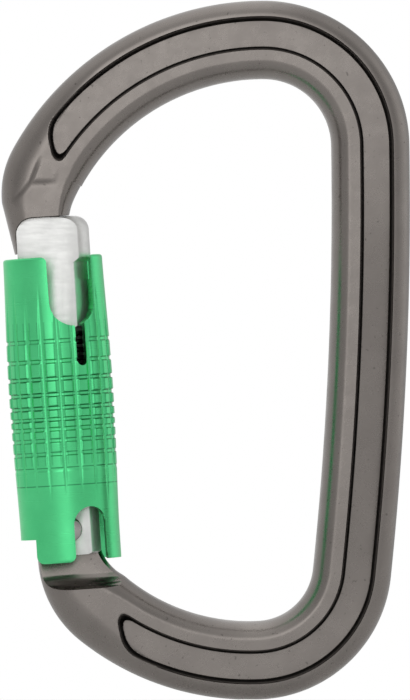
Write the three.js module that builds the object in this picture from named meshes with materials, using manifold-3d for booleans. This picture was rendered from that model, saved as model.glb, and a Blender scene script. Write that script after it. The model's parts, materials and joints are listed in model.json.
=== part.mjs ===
// Locking carabiner: a forged D-shaped frame with a sprung gate and an auto-locking twist sleeve.
//
// Millimetres, +Z up. X runs from the gate (-X) to the spine (+X), Y is the thickness, front at -Y.
// The origin is the inside of the top basket at mid thickness, where an anchor bolt or sling sits.

import * as THREE from 'three';
import { mergeVertices } from 'three/addons/utils/BufferGeometryUtils.js';
import Module from 'manifold-3d';

const wasm = await Module();
wasm.setup();

// ---------- driving dimensions ----------

const BAR_WIDTH = 12.1;         // across the frame's bar, seen from the front
const BAR_THICKNESS = 10.6;     // front to back
const EDGE_SHARE = 0.182;       // rounding of the bar's long edges, of its width
const NOSE_BEND_RADIUS = 8.4;   // bends of the bar's centreline, from the nose round to the hinge
const SHOULDER_RADIUS = 38.2;
const BASKET_RADIUS = 16.5;
const SPINE_RADIUS = 550;
const SPINE_LENGTH = 66.3;
const CORNER_RADIUS = 15.0;
const SOLE_RADIUS = 36.0;
const HINGE_BEND_RADIUS = 11.3;
const SHOULDER_TURN = 61.0;     // degrees that each bend turns
const BASKET_TURN = 89.0;
const CORNER_TURN = 81.4;
const SOLE_TURN = 41.0;
const HINGE_TURN = 68.3;

const WEB_THICKNESS = 4.4;      // recessed web between the bar's two flanges
const INNER_FLANGE = 4.5;       // rope-bearing side
const OUTER_FLANGE = 2.6;
const WEB_START_TURN = 4;       // degrees along the shoulder bend where the recess starts
const WEB_END_TURN = 33;        // degrees along the sole bend where it ends

const LUG_THICKNESS = 4.6;      // thinned end of the frame inside the gate's fork
const LUG_OFFSET = 1.6;         // rivet, outwards of the bar's centreline
const LUG_STEP = 7.1;           // below the rivet, where the slope up to the full bar starts
const LUG_SLOPE = 2.2;
const CAM_RADIUS = 4.4;         // lug top under the push pin with the gate shut
const CAM_RISE = 0.7;           // what the cam adds with the gate fully open
const KEY_STEM = 3.2;           // nose key's stem and head, front to back
const KEY_HEAD = 5.0;
const KEY_LAND = 0.4;           // nose's flank, outwards of the key's head
const NOSE_FLANK = 10.4;        // degrees between the nose's outer flank and the gate

const GATE_RADIUS = 5.3;
const GATE_HEAD_RADIUS = GATE_RADIUS + 0.6;
const GATE_HEAD_HEIGHT = 7.0;
const FORK_CHEEK = 1.6;         // each cheek of the gate's fork, front to back
const GATE_OFFSET = 7.2;        // gate's axis, outwards of the nose bend's centre
const GATE_DROP = 3.2;          // gate's top, below the nose bend's centre
const GATE_OPENING = 25;        // degrees
const FORK_DEPTH = 6.1;         // above the rivet
const FORK_TAIL = 4.0;          // below the rivet
const RIVET_RADIUS = 1.6;
const RIVET_HEAD_RADIUS = 2.1;
const RIVET_HEAD = 0.7;
const RIVET_GAP = 0.15;         // running clearance round the rivet and under its heads
const FORK_CORNER = 2.8;
const HEAD_CORNER = 2.6;
const HEAD_LEFT_FLAT = 0.6;     // taken off the head on the nose side
const BORE_RADIUS = 1.6;        // bore for the push pin and its spring
const PLUNGER_LENGTH = 6.4;
const GATE_SPRING_LENGTH = 10.4;
const GATE_SPRING_WIRE = 0.4;
const GATE_SPRING_TURNS = 9;

const SLEEVE_PLAY = 1.0;         // between the gate's head and the sleeve's bore
const SLEEVE_WALL = 0.76;       // at the sleeve's ends
const SLEEVE_CROWN = 0.46;      // what the barrel swells by in the middle
const SLEEVE_TOP = 6.15;        // rim, below the gate's top
const SLEEVE_TAIL = 5.1;        // longest skirt tabs, below the rivet
const SIDE_TAB_TAIL = 4.8;
const SHORT_SKIRT_TAIL = 1.3;
const SLEEVE_LIFT = 3.5;
const SLEEVE_TWIST = 72;        // degrees
const FLUTES = 20;
const FLUTE_FOOT = 0.1;         // floor of the flutes, out from the sleeve's end radius
const BARREL_STEPS = 9;         // facets along the barrel
const CUTOUT_WIDTH = 7.3;       // two cut-outs in the rim that pass the nose
const CUTOUT_DEPTH = 10.8;
const CUTOUT_ANGLE = 21.5;      // degrees from the front towards the spine
const WINDOW_WIDTH = 5.5;       // two windows in the skirt that pass the frame
const WINDOW_TOP = 3.4;
const WINDOW_ANGLE = 27;
const SKIRT_TAB_EDGE = 136;     // where the side tab meets the back tab
const SLOT_WIDTH = 1.7;         // slot for the sleeve spring's leg
const SLOT_DEPTH = 6.2;
const SLOT_ANGLE = 27.5;

const WAIST_STEP = 0.4;         // the gate's waist inside the sleeve spring, in from its radius
const SLEEVE_SPRING_WIRE = 0.8;
const SLEEVE_SPRING_TURNS = 16;
const WAIST_START = 8.0;        // above the rivet
const WAIST_END = 17.3;         // below the gate's top
const SEAT_HEIGHT = 1.2;
const LIP_HEIGHT = 1.5;         // sleeve's inner lip that lifts the spring seat
const LIP_PLAY = 0.55;          // between the gate and the lip
const GUIDE_BAND_PLAY = 0.8;    // between the gate and the sleeve's inner band with the pin's pocket
const POCKET_SKIN = 0.2;        // band left between the pocket and the sleeve's bore
const GUIDE_PIN_RADIUS = 0.8;
const GUIDE_PIN_DROP = 12.3;    // below the gate's top
const GUIDE_PIN_ANGLE = 142;
const GUIDE_PIN_ROOT = 1.5;     // from the gate's axis
const BAND_LAND = 1.2;          // band left above the pin's pocket

const RUN = 0.3;                // clearance between pieces
const ARC_STEP = 7;             // degrees between the points of an arc

// ---------- fits: sizes that follow the ones above ----------

const BAR_EDGE = EDGE_SHARE * BAR_WIDTH;
const GATE_FLATS = LUG_THICKNESS + 2 * (FORK_CHEEK + RUN);    // across the gate's two flats
const SPRING_STEM_RADIUS = GATE_RADIUS - WAIST_STEP;
const SLEEVE_BORE = GATE_HEAD_RADIUS + SLEEVE_PLAY;
const SLEEVE_RADIUS = SLEEVE_BORE + SLEEVE_WALL;
const SLEEVE_BELLY = SLEEVE_RADIUS + SLEEVE_CROWN;
const FLUTE_FLOOR = SLEEVE_RADIUS + FLUTE_FOOT;
const LIP_BORE = GATE_RADIUS + LIP_PLAY;
const GUIDE_BAND_BORE = GATE_RADIUS + GUIDE_BAND_PLAY;
const GUIDE_POCKET = SLEEVE_BORE - POCKET_SKIN;

// ---------- materials ----------

const finish = (color, roughness, metalness) =>
  new THREE.MeshStandardMaterial({ color, roughness, metalness });
const TITANIUM_GREY = finish(0x8a8480, 0.38, 0.9);
const SILVER = finish(0xe4e4e2, 0.32, 0.9);
const GREEN = finish(0x46b473, 0.34, 0.85);
const STEEL = finish(0xa8a8a8, 0.3, 1.0);
const ACETAL = finish(0x1d1d1f, 0.55, 0.0);

// ---------- solids ----------

const rad = THREE.MathUtils.degToRad;

function solidOf(geometry) {
  const bare = geometry.clone();
  for (const name of Object.keys(bare.attributes)) {
    if (name !== 'position') bare.deleteAttribute(name);
  }
  const merged = mergeVertices(bare, 1e-5);
  const mesh = new wasm.Mesh({
    numProp: 3,
    vertProperties: new Float32Array(merged.attributes.position.array),
    triVerts: new Uint32Array(merged.index.array),
  });
  return new wasm.Manifold(mesh);
}

function geometryOf(solid) {
  const mesh = solid.getMesh();
  const geometry = new THREE.BufferGeometry();
  geometry.setAttribute('position', new THREE.BufferAttribute(mesh.vertProperties, 3));
  geometry.setIndex(new THREE.BufferAttribute(mesh.triVerts, 1));
  geometry.computeVertexNormals();
  return geometry;
}

function named(name, solid, material) {
  const mesh = new THREE.Mesh(geometryOf(solid), material);
  mesh.name = name;
  return mesh;
}

const cutAll = (solid, cutters) => cutters.reduce((left, cutter) => left.subtract(cutter), solid);

// A closed outline of points, extruded front to back about the middle plane y = 0.
function plate(points, thickness, edge = 0, steps = 3) {
  const geometry = new THREE.ExtrudeGeometry(new THREE.Shape(points), {
    depth: thickness - 2 * edge,
    bevelEnabled: edge > 0,
    bevelSize: edge,
    bevelThickness: edge,
    bevelOffset: -edge,
    bevelSegments: steps,
    curveSegments: 12,
  });
  geometry.rotateX(Math.PI / 2);
  geometry.translate(0, (thickness - 2 * edge) / 2, 0);
  return solidOf(geometry);
}

// A profile of (radius, height) points turned about the Z axis; angle 0 faces the front.
function turned(points, segments = 40) {
  const geometry = new THREE.LatheGeometry(points.map(([r, z]) => new THREE.Vector2(r, z)), segments);
  geometry.rotateX(Math.PI / 2);
  return solidOf(geometry);
}

const cylinder = (radius, z0, z1, segments = 40) =>
  turned([[0, z0], [radius, z0], [radius, z1], [0, z1]], segments);

const tube = (outer, inner, z0, z1, segments = 40) =>
  turned([[inner, z0], [outer, z0], [outer, z1], [inner, z1], [inner, z0]], segments);

// An outline extruded along Z.
function column(shape, z0, z1, curveSegments = 12) {
  const geometry = new THREE.ExtrudeGeometry(shape, { depth: z1 - z0, bevelEnabled: false, curveSegments });
  geometry.translate(0, 0, z0);
  return solidOf(geometry);
}

function block(x0, x1, y0, y1, z0, z1) {
  const geometry = new THREE.BoxGeometry(x1 - x0, y1 - y0, z1 - z0);
  geometry.translate((x0 + x1) / 2, (y0 + y1) / 2, (z0 + z1) / 2);
  return solidOf(geometry);
}

// A sector of a ring about the gate's axis; angles in degrees from the front, growing towards +X.
function sector(outer, inner, from, to, z0, z1) {
  const shape = new THREE.Shape();
  shape.absarc(0, 0, outer, rad(from - 90), rad(to - 90), false);
  shape.absarc(0, 0, inner, rad(to - 90), rad(from - 90), true);
  return column(shape, z0, z1, Math.max(3, Math.ceil((to - from) / 9)));
}

// A cutter with a round end, pointing outwards at an angle from the front: up = 1 opens upwards.
function roundEndedCutter(width, endZ, openZ, angle, reach0, reach1) {
  const half = width / 2;
  const up = Math.sign(openZ - endZ);
  const centre = endZ + up * half;
  const shape = new THREE.Shape();
  shape.moveTo(half, openZ);
  shape.lineTo(half, centre);
  shape.absarc(0, centre, half, 0, Math.PI, up > 0);
  shape.lineTo(-half, openZ);
  const geometry = new THREE.ExtrudeGeometry(shape, {
    depth: reach1 - reach0, bevelEnabled: false, curveSegments: 10,
  });
  geometry.rotateX(Math.PI / 2);
  geometry.translate(0, -reach0, 0);
  geometry.rotateZ(rad(angle));
  return solidOf(geometry);
}

// A helix about the Z axis.
class Helix extends THREE.Curve {
  constructor(radius, z0, z1, turns) {
    super();
    Object.assign(this, { radius, z0, z1, turns });
  }

  getPoint(t, target = new THREE.Vector3()) {
    const angle = 2 * Math.PI * this.turns * t;
    const z = THREE.MathUtils.lerp(this.z0, this.z1, t);
    return target.set(this.radius * Math.sin(angle), -this.radius * Math.cos(angle), z);
  }
}

function coil(radius, wire, z0, z1, turns, stepsPerTurn, sides = 6) {
  const section = new THREE.Shape();
  section.absarc(0, 0, wire / 2, 0, 2 * Math.PI);
  return solidOf(new THREE.ExtrudeGeometry(section, {
    extrudePath: new Helix(radius, z0 + wire / 2, z1 - wire / 2, turns),
    steps: Math.round(turns * stepsPerTurn),
    curveSegments: sides / 2,
    bevelEnabled: false,
  }));
}

// ---------- frame centreline ----------

// A clockwise bend. The heading is the direction of travel in degrees above +X.
const normal = (heading) => new THREE.Vector2(-Math.sin(rad(heading)), Math.cos(rad(heading)));

const bendFrom = (start, heading, radius, turn) =>
  ({ centre: start.clone().addScaledVector(normal(heading), -radius), radius, from: heading, to: heading - turn });

const pointOn = (bend, heading, outwards = 0) =>
  bend.centre.clone().addScaledVector(normal(heading), bend.radius + outwards);

function arcPoints(bend, outwards, from = bend.from, to = bend.to) {
  const count = Math.max(2, Math.ceil(Math.abs(to - from) / ARC_STEP), bend.radius > 100 ? 6 : 2);
  const points = [];
  for (let i = 0; i <= count; i += 1) {
    points.push(pointOn(bend, THREE.MathUtils.lerp(from, to, i / count), outwards));
  }
  return points;
}

const half = BAR_WIDTH / 2;
const basketTop = new THREE.Vector2(0, half);
const basket = bendFrom(basketTop, 0, BASKET_RADIUS, BASKET_TURN);
const shoulder = bendFrom(basketTop, 0, SHOULDER_RADIUS, -SHOULDER_TURN);
[shoulder.from, shoulder.to] = [shoulder.to, shoulder.from];
const noseBend = bendFrom(pointOn(shoulder, shoulder.from), shoulder.from, NOSE_BEND_RADIUS, 0);
const chain = [basket];
for (const [radius, turn] of [
  [SPINE_RADIUS, THREE.MathUtils.radToDeg(SPINE_LENGTH / SPINE_RADIUS)],
  [CORNER_RADIUS, CORNER_TURN],
  [SOLE_RADIUS, SOLE_TURN],
  [HINGE_BEND_RADIUS, HINGE_TURN],
]) {
  const last = chain[chain.length - 1];
  chain.push(bendFrom(pointOn(last, last.to), last.to, radius, turn));
}
const [, spine, corner, sole, hingeBend] = chain;

// ---------- gate line ----------

// The rivet sits near the end of the hinge bend. The gate's axis passes the nose bend's centre
// at GATE_OFFSET, which sets its tilt. Gate pieces are drawn upright about the rivet.
const rivet = pointOn(hingeBend, hingeBend.to, LUG_OFFSET);
const toNose = noseBend.centre.clone().sub(rivet);
const tilt = Math.asin(GATE_OFFSET / toNose.length()) - Math.atan2(toNose.x, toNose.y);
const noseHeight = Math.sqrt(toNose.lengthSq() - GATE_OFFSET ** 2);
const gateTop = noseHeight - GATE_DROP;
const rim = gateTop - SLEEVE_TOP;

// From upright gate coordinates (across, along) to the frame's (x, z).
const onFrame = (across, along) => new THREE.Vector2(
  rivet.x + across * Math.cos(tilt) - along * Math.sin(tilt),
  rivet.y + across * Math.sin(tilt) + along * Math.cos(tilt),
);

const onGate = (point) => new THREE.Vector2(
  (point.x - rivet.x) * Math.cos(tilt) + (point.y - rivet.y) * Math.sin(tilt),
  (point.y - rivet.y) * Math.cos(tilt) - (point.x - rivet.x) * Math.sin(tilt),
);

const ontoFrame = (solid) =>
  solid.rotate([0, -THREE.MathUtils.radToDeg(tilt), 0]).translate([rivet.x, 0, rivet.y]);

// ---------- frame ----------

const FLANK_START = 2;                // degrees past the gate's direction where the flank begins
const shoulderSeat = gateTop + RUN;   // full bar above the gate's head
const keyTop = gateTop - 2.9;         // top of the key's head
const keyBottom = rim + 0.8;          // its lowest point, above the sleeve's rim
const keyRight = 1.5;
const keySlope = Math.tan(rad(17));   // the underside rises inwards to pass over the rim
const flankHeading = 90 + THREE.MathUtils.radToDeg(tilt) + FLANK_START;
const flankStart = onGate(pointOn(noseBend, flankHeading, half));
const flankAt = (along) => flankStart.x + (flankStart.y - along) * Math.tan(rad(NOSE_FLANK));
const keyLeft = flankAt(keyBottom) + KEY_LAND;
const throat = GATE_OFFSET - NOSE_BEND_RADIUS + half;   // inner edge of the bar beside the nose
const lugReach = half - 0.85;         // lug's outer edge beside the rivet

function frameOutline() {
  const outer = [
    ...arcPoints(noseBend, half, flankHeading, shoulder.from),
    ...arcPoints(shoulder, half).slice(1),
    ...chain.slice(0, 4).flatMap((bend) => arcPoints(bend, half).slice(1)),
    ...arcPoints(hingeBend, half, hingeBend.from, 92 - 360).slice(1),
  ];
  const lugOuter = [[1, -0.8], [0.96, 0.8], [0.81, 2.3], [0.6, 3.2]]
    .map(([share, along]) => onFrame(-share * lugReach, along));
  const cam = [];
  for (let degrees = -30; degrees <= 80; degrees += 10) {
    const rise = CAM_RISE * THREE.MathUtils.clamp(degrees / GATE_OPENING, -1, 1.3);
    const radius = CAM_RADIUS + rise - Math.max(0, degrees - 40) * 0.012;
    cam.push(onFrame(radius * Math.sin(rad(degrees)), radius * Math.cos(rad(degrees))));
  }
  const lugInner = [[-0.1, -0.5], [0.1, -3.2], [0.8, -5.2], [2.1, -6.8]]
    .map(([beyond, along]) => onFrame(CAM_RADIUS + beyond, along));
  const inner = [
    ...arcPoints(hingeBend, -half, hingeBend.from - 12, hingeBend.from),
    ...[...chain].slice(0, 4).reverse().flatMap((bend) => arcPoints(bend, -half, bend.to, bend.from).slice(1)),
    ...arcPoints(shoulder, -half, shoulder.to, shoulder.from).slice(1),
  ];
  const noseFoot = gateTop - 3;
  const nose = [[0.45, gateTop + 3.2], [1.65, shoulderSeat], [2.25, noseFoot]]
    .map(([inset, along]) => onFrame(throat - inset, along));
  return [...outer, ...lugOuter, ...cam, ...lugInner, ...inner, ...nose, onFrame(flankAt(noseFoot), noseFoot)];
}

function webRecess(front) {
  const outwards = half - OUTER_FLANGE;
  const inwards = -half + INNER_FLANGE;
  const middle = (outwards + inwards) / 2;
  const radius = (outwards - inwards) / 2;
  const startHeading = shoulder.from - WEB_START_TURN;
  const endHeading = sole.from - WEB_END_TURN;
  const run = [
    [shoulder, startHeading, shoulder.to],
    [basket, basket.from, basket.to],
    [spine, spine.from, spine.to],
    [corner, corner.from, corner.to],
    [sole, sole.from, endHeading],
  ];
  const roundEnd = (centre, heading) => {
    const points = [];
    for (let degrees = 30; degrees < 180; degrees += 30) {
      const direction = normal(heading - degrees);
      points.push(centre.clone().addScaledVector(direction, radius));
    }
    return points;
  };
  const points = [
    ...run.flatMap(([bend, from, to], i) => arcPoints(bend, outwards, from, to).slice(i ? 1 : 0)),
    ...roundEnd(pointOn(sole, endHeading, middle), endHeading),
    ...[...run].reverse().flatMap(([bend, from, to], i) =>
      arcPoints(bend, inwards, to, from).slice(i ? 1 : 0)),
    ...roundEnd(pointOn(shoulder, startHeading, middle), startHeading + 180),
  ];
  const depth = (BAR_THICKNESS - WEB_THICKNESS) / 2;
  const recess = plate(points, depth + 2);
  const offset = WEB_THICKNESS / 2 + (depth + 2) / 2;
  return recess.translate([0, front ? -offset : offset, 0]);
}

// What is cut away beside the lug: a flat floor, then a slope up to the full bar.
function lugCut(side) {
  const floor = side * LUG_THICKNESS / 2;
  const face = side * BAR_THICKNESS;
  const shape = new THREE.Shape();
  shape.moveTo(floor, FORK_DEPTH);
  shape.lineTo(floor, -LUG_STEP);
  shape.lineTo(face / 2, -LUG_STEP - LUG_SLOPE);
  shape.lineTo(face, -LUG_STEP - LUG_SLOPE);
  shape.lineTo(face, FORK_DEPTH);
  const reach = 2 * BAR_WIDTH;
  const geometry = new THREE.ExtrudeGeometry(shape, { depth: reach, bevelEnabled: false });
  geometry.rotateX(Math.PI / 2);
  geometry.rotateZ(Math.PI / 2);
  geometry.translate(-reach / 2, 0, 0);
  return ontoFrame(solidOf(geometry));
}

function noseKey() {
  const rise = (across) => keyBottom + (across - keyLeft) * keySlope;
  const root = shoulderSeat + 1;
  const stem = [
    onFrame(flankAt(root), root),
    onFrame(keyRight, root),
    onFrame(keyRight, rise(keyRight)),
    onFrame(keyLeft, rise(keyLeft)),
    onFrame(flankAt(keyBottom), keyBottom),
  ];
  const head = [
    onFrame(keyLeft, keyTop),
    onFrame(keyRight, keyTop),
    onFrame(keyRight, rise(keyRight)),
    onFrame(keyLeft, rise(keyLeft)),
  ];
  return plate(stem, KEY_STEM).add(plate(head, KEY_HEAD));
}

function frameBody() {
  const bar = plate(frameOutline(), BAR_THICKNESS, BAR_EDGE);
  const noseCut = ontoFrame(block(-BAR_WIDTH, BAR_WIDTH, -BAR_THICKNESS, BAR_THICKNESS, rim, shoulderSeat));
  const rivetHole = ontoFrame(
    cylinder(RIVET_RADIUS + RIVET_GAP, -BAR_THICKNESS, BAR_THICKNESS, 24).rotate([90, 0, 0]));
  return cutAll(bar, [webRecess(true), webRecess(false), lugCut(1), lugCut(-1), noseCut])
    .add(noseKey())
    .subtract(rivetHole);
}

// ---------- gate, drawn upright about the rivet ----------

const camSeat = CAM_RADIUS + RUN;
const boreTop = camSeat + PLUNGER_LENGTH + GATE_SPRING_LENGTH + 2 * RUN;
const waistEnd = gateTop - WAIST_END;
const headFoot = gateTop - GATE_HEAD_HEIGHT;
const guidePinHeight = gateTop - GUIDE_PIN_DROP;

const radialPin = (radius, from, to, height, angle) => cylinder(radius, from, to, 16)
  .rotate([90, 0, 0]).rotate([0, 0, angle]).translate([0, 0, height]);

// The gate from the front: square-shouldered, with rounded corners.
function gateOutline() {
  const left = -GATE_HEAD_RADIUS + HEAD_LEFT_FLAT;
  const right = GATE_HEAD_RADIUS;
  const shape = new THREE.Shape();
  shape.absarc(left + FORK_CORNER, -FORK_TAIL + FORK_CORNER, FORK_CORNER, -Math.PI, -Math.PI / 2, false);
  shape.absarc(right - FORK_CORNER, -FORK_TAIL + FORK_CORNER, FORK_CORNER, -Math.PI / 2, 0, false);
  shape.absarc(right - HEAD_CORNER, gateTop - HEAD_CORNER, HEAD_CORNER, 0, Math.PI / 2, false);
  shape.absarc(left + HEAD_CORNER, gateTop - HEAD_CORNER, HEAD_CORNER, Math.PI / 2, Math.PI, false);
  return plate(shape.getPoints(5), GATE_FLATS);
}

function gate() {
  const bar = turned([
    [0, -FORK_TAIL],
    [GATE_RADIUS, -FORK_TAIL],
    [GATE_RADIUS, WAIST_START],
    [SPRING_STEM_RADIUS, WAIST_START],
    [SPRING_STEM_RADIUS, waistEnd],
    [GATE_RADIUS, waistEnd],
    [GATE_RADIUS, headFoot],
    [GATE_HEAD_RADIUS, headFoot + GATE_HEAD_RADIUS - GATE_RADIUS],
    [GATE_HEAD_RADIUS, gateTop],
    [0, gateTop],
  ]).intersect(gateOutline());
  const keySlotFloor = Math.hypot(keyLeft, keyBottom) - RUN;
  const keySlotRoof = Math.hypot(keyLeft, keyTop) + RUN;
  const slotRight = keyRight + RUN;
  const stemHalf = KEY_STEM / 2 + RUN;
  const headHalf = KEY_HEAD / 2 + RUN;
  const lugHalf = LUG_THICKNESS / 2 + RUN;
  const keyHeadSlot = tube(keySlotRoof, keySlotFloor, -headHalf, headHalf, 72).rotate([90, 0, 0])
    .intersect(block(-BAR_WIDTH, slotRight, -headHalf, headHalf, headFoot, gateTop));
  return cutAll(bar, [
    keyHeadSlot,
    block(-BAR_WIDTH, slotRight, -stemHalf, stemHalf, keySlotFloor + RUN, gateTop + RUN),
    block(-BAR_WIDTH, BAR_WIDTH, -lugHalf, lugHalf, -2 * FORK_TAIL, FORK_DEPTH),
    cylinder(BORE_RADIUS, FORK_DEPTH - RUN, boreTop, 20),
    cylinder(RIVET_RADIUS + RIVET_GAP, -BAR_THICKNESS, BAR_THICKNESS, 24).rotate([90, 0, 0]),
    radialPin(GUIDE_PIN_RADIUS + RIVET_GAP, GUIDE_PIN_ROOT - RUN, 2 * GATE_RADIUS, guidePinHeight, GUIDE_PIN_ANGLE),
  ]);
}

function gateRivet() {
  const cheek = GATE_FLATS / 2 + RIVET_GAP;
  const top = cheek + RIVET_HEAD;
  return turned([
    [0, -top],
    [0.6 * RIVET_HEAD_RADIUS, -top + 0.1 * RIVET_HEAD],
    [RIVET_HEAD_RADIUS, -cheek - 0.4 * RIVET_HEAD],
    [RIVET_HEAD_RADIUS, -cheek],
    [RIVET_RADIUS, -cheek],
    [RIVET_RADIUS, cheek],
    [RIVET_HEAD_RADIUS, cheek],
    [RIVET_HEAD_RADIUS, cheek + 0.4 * RIVET_HEAD],
    [0.6 * RIVET_HEAD_RADIUS, top - 0.1 * RIVET_HEAD],
    [0, top],
  ], 24).rotate([90, 0, 0]);
}

function gatePlunger() {
  const radius = BORE_RADIUS - RUN;
  const points = [];
  for (let degrees = 0; degrees <= 90; degrees += 15) {
    points.push([radius * Math.sin(rad(degrees)), camSeat + radius * (1 - Math.cos(rad(degrees)))]);
  }
  points[0][0] = 0;
  return turned([...points, [radius, camSeat + PLUNGER_LENGTH], [0, camSeat + PLUNGER_LENGTH]], 20);
}

function gateSpring() {
  const foot = camSeat + PLUNGER_LENGTH + RUN;
  const radius = BORE_RADIUS - RUN - GATE_SPRING_WIRE / 2;
  return coil(radius, GATE_SPRING_WIRE, foot, foot + GATE_SPRING_LENGTH, GATE_SPRING_TURNS, 10);
}

const guidePin = () =>
  radialPin(GUIDE_PIN_RADIUS, GUIDE_PIN_ROOT, GUIDE_POCKET - RUN, guidePinHeight, GUIDE_PIN_ANGLE);

// ---------- sleeve and its spring ----------

const seatFoot = WAIST_START + RUN;
const seatTop = seatFoot + SEAT_HEIGHT;

function barrelRadius(height) {
  const along = THREE.MathUtils.clamp(height / rim, 0, 1);
  return SLEEVE_RADIUS + (SLEEVE_BELLY - SLEEVE_RADIUS) * Math.sin(Math.PI * along) ** 1.5;
}

// The grip's flutes are sunk to one radius, so that they run out where the barrel narrows.
function fluteStar() {
  const points = [];
  const high = 2 * SLEEVE_BELLY;
  for (let i = 0; i < FLUTES; i += 1) {
    const from = rad((i + 0.25) * 360 / FLUTES - 90);
    const to = from + Math.PI / FLUTES;
    const next = from + 2 * Math.PI / FLUTES;
    for (const [radius, angle] of [[high, from], [high, to], [FLUTE_FLOOR, to], [FLUTE_FLOOR, next]]) {
      points.push(new THREE.Vector2(radius * Math.cos(angle), radius * Math.sin(angle)));
    }
  }
  return column(new THREE.Shape(points), -2 * SLEEVE_TAIL, 2 * rim);
}

function lockingSleeve() {
  const lipTop = seatFoot - RUN;
  const bandFoot = waistEnd + RUN;
  const bandTop = guidePinHeight + GUIDE_PIN_RADIUS + RUN + BAND_LAND;
  const edge = 0.3;
  const outside = [[SLEEVE_RADIUS - edge, -SLEEVE_TAIL], [SLEEVE_RADIUS, edge - SLEEVE_TAIL]];
  for (let i = 1; i < BARREL_STEPS; i += 1) {
    const height = rim * i / BARREL_STEPS;
    outside.push([barrelRadius(height), height]);
  }
  outside.push([SLEEVE_RADIUS, rim - edge], [SLEEVE_RADIUS - edge, rim]);
  const inside = [
    [SLEEVE_BORE, rim],
    [SLEEVE_BORE, bandTop],
    [GUIDE_BAND_BORE, bandTop],
    [GUIDE_BAND_BORE, bandFoot],
    [SLEEVE_BORE, bandFoot],
    [SLEEVE_BORE, lipTop],
    [LIP_BORE, lipTop],
    [LIP_BORE, lipTop - LIP_HEIGHT],
    [SLEEVE_BORE, lipTop - LIP_HEIGHT - (SLEEVE_BORE - LIP_BORE)],
    [SLEEVE_BORE, -SLEEVE_TAIL],
  ];
  const blank = turned([...outside, ...inside, outside[0]], 2 * FLUTES).intersect(fluteStar());
  const pinSweep = THREE.MathUtils.radToDeg(Math.asin((GUIDE_PIN_RADIUS + RUN) / GUIDE_BAND_BORE));
  const windowSweep = THREE.MathUtils.radToDeg(Math.asin(WINDOW_WIDTH / 2 / SLEEVE_BORE)) - 1;
  const through = 2 * SLEEVE_BELLY;
  const below = -2 * SLEEVE_TAIL;
  return cutAll(blank, [
    sector(GUIDE_POCKET, SPRING_STEM_RADIUS, GUIDE_PIN_ANGLE - SLEEVE_TWIST - pinSweep,
      GUIDE_PIN_ANGLE + pinSweep, bandFoot - RUN, guidePinHeight + GUIDE_PIN_RADIUS + RUN),
    roundEndedCutter(CUTOUT_WIDTH, rim - CUTOUT_DEPTH, rim + RUN, CUTOUT_ANGLE, -through, through),
    roundEndedCutter(SLOT_WIDTH, rim - CUTOUT_DEPTH - SLOT_DEPTH, rim - CUTOUT_DEPTH + CUTOUT_WIDTH / 2,
      SLOT_ANGLE, SPRING_STEM_RADIUS, through),
    roundEndedCutter(WINDOW_WIDTH, WINDOW_TOP, below, WINDOW_ANGLE, -through, through),
    sector(through, SPRING_STEM_RADIUS, WINDOW_ANGLE + windowSweep, SKIRT_TAB_EDGE, below, -SIDE_TAB_TAIL),
    sector(through, SPRING_STEM_RADIUS, WINDOW_ANGLE + 180 + windowSweep, SKIRT_TAB_EDGE + 180, below,
      -SHORT_SKIRT_TAIL),
  ]);
}

function springSeat() {
  const across = GATE_FLATS / 2 + RUN;
  const hole = cylinder(SPRING_STEM_RADIUS + RUN, 0, rim)
    .intersect(block(-BAR_WIDTH, BAR_WIDTH, -across, across, 0, rim));
  return cylinder(SLEEVE_BORE - RUN, seatFoot, seatTop).subtract(hole);
}

const sleeveSpring = () => coil((SPRING_STEM_RADIUS + SLEEVE_BORE) / 2, SLEEVE_SPRING_WIRE,
  seatTop + RUN, waistEnd - RUN, SLEEVE_SPRING_TURNS, 14);

// ---------- assembly ----------

const gateLine = new THREE.Group();
gateLine.position.set(rivet.x, 0, rivet.y);
gateLine.rotation.y = -tilt;
gateLine.add(
  named('gate_rivet', gateRivet(), STEEL),
  named('gate', gate(), SILVER),
  named('gate_plunger', gatePlunger(), STEEL),
  named('gate_spring', gateSpring(), STEEL),
  named('guide_pin', guidePin(), STEEL),
  named('spring_seat', springSeat(), ACETAL),
  named('sleeve_spring', sleeveSpring(), STEEL),
  named('locking_sleeve', lockingSleeve(), GREEN),
);

const carabiner = new THREE.Group();
carabiner.add(named('frame_body', frameBody(), TITANIUM_GREY), gateLine);

export default carabiner;
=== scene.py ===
"""Looks for the locking carabiner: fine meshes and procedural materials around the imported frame.

Lengths in the shape code are millimetres and become metres when a mesh is made.
"""
import json
import math

import bmesh
import bpy
import numpy as np
from mathutils import Matrix, Vector


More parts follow.
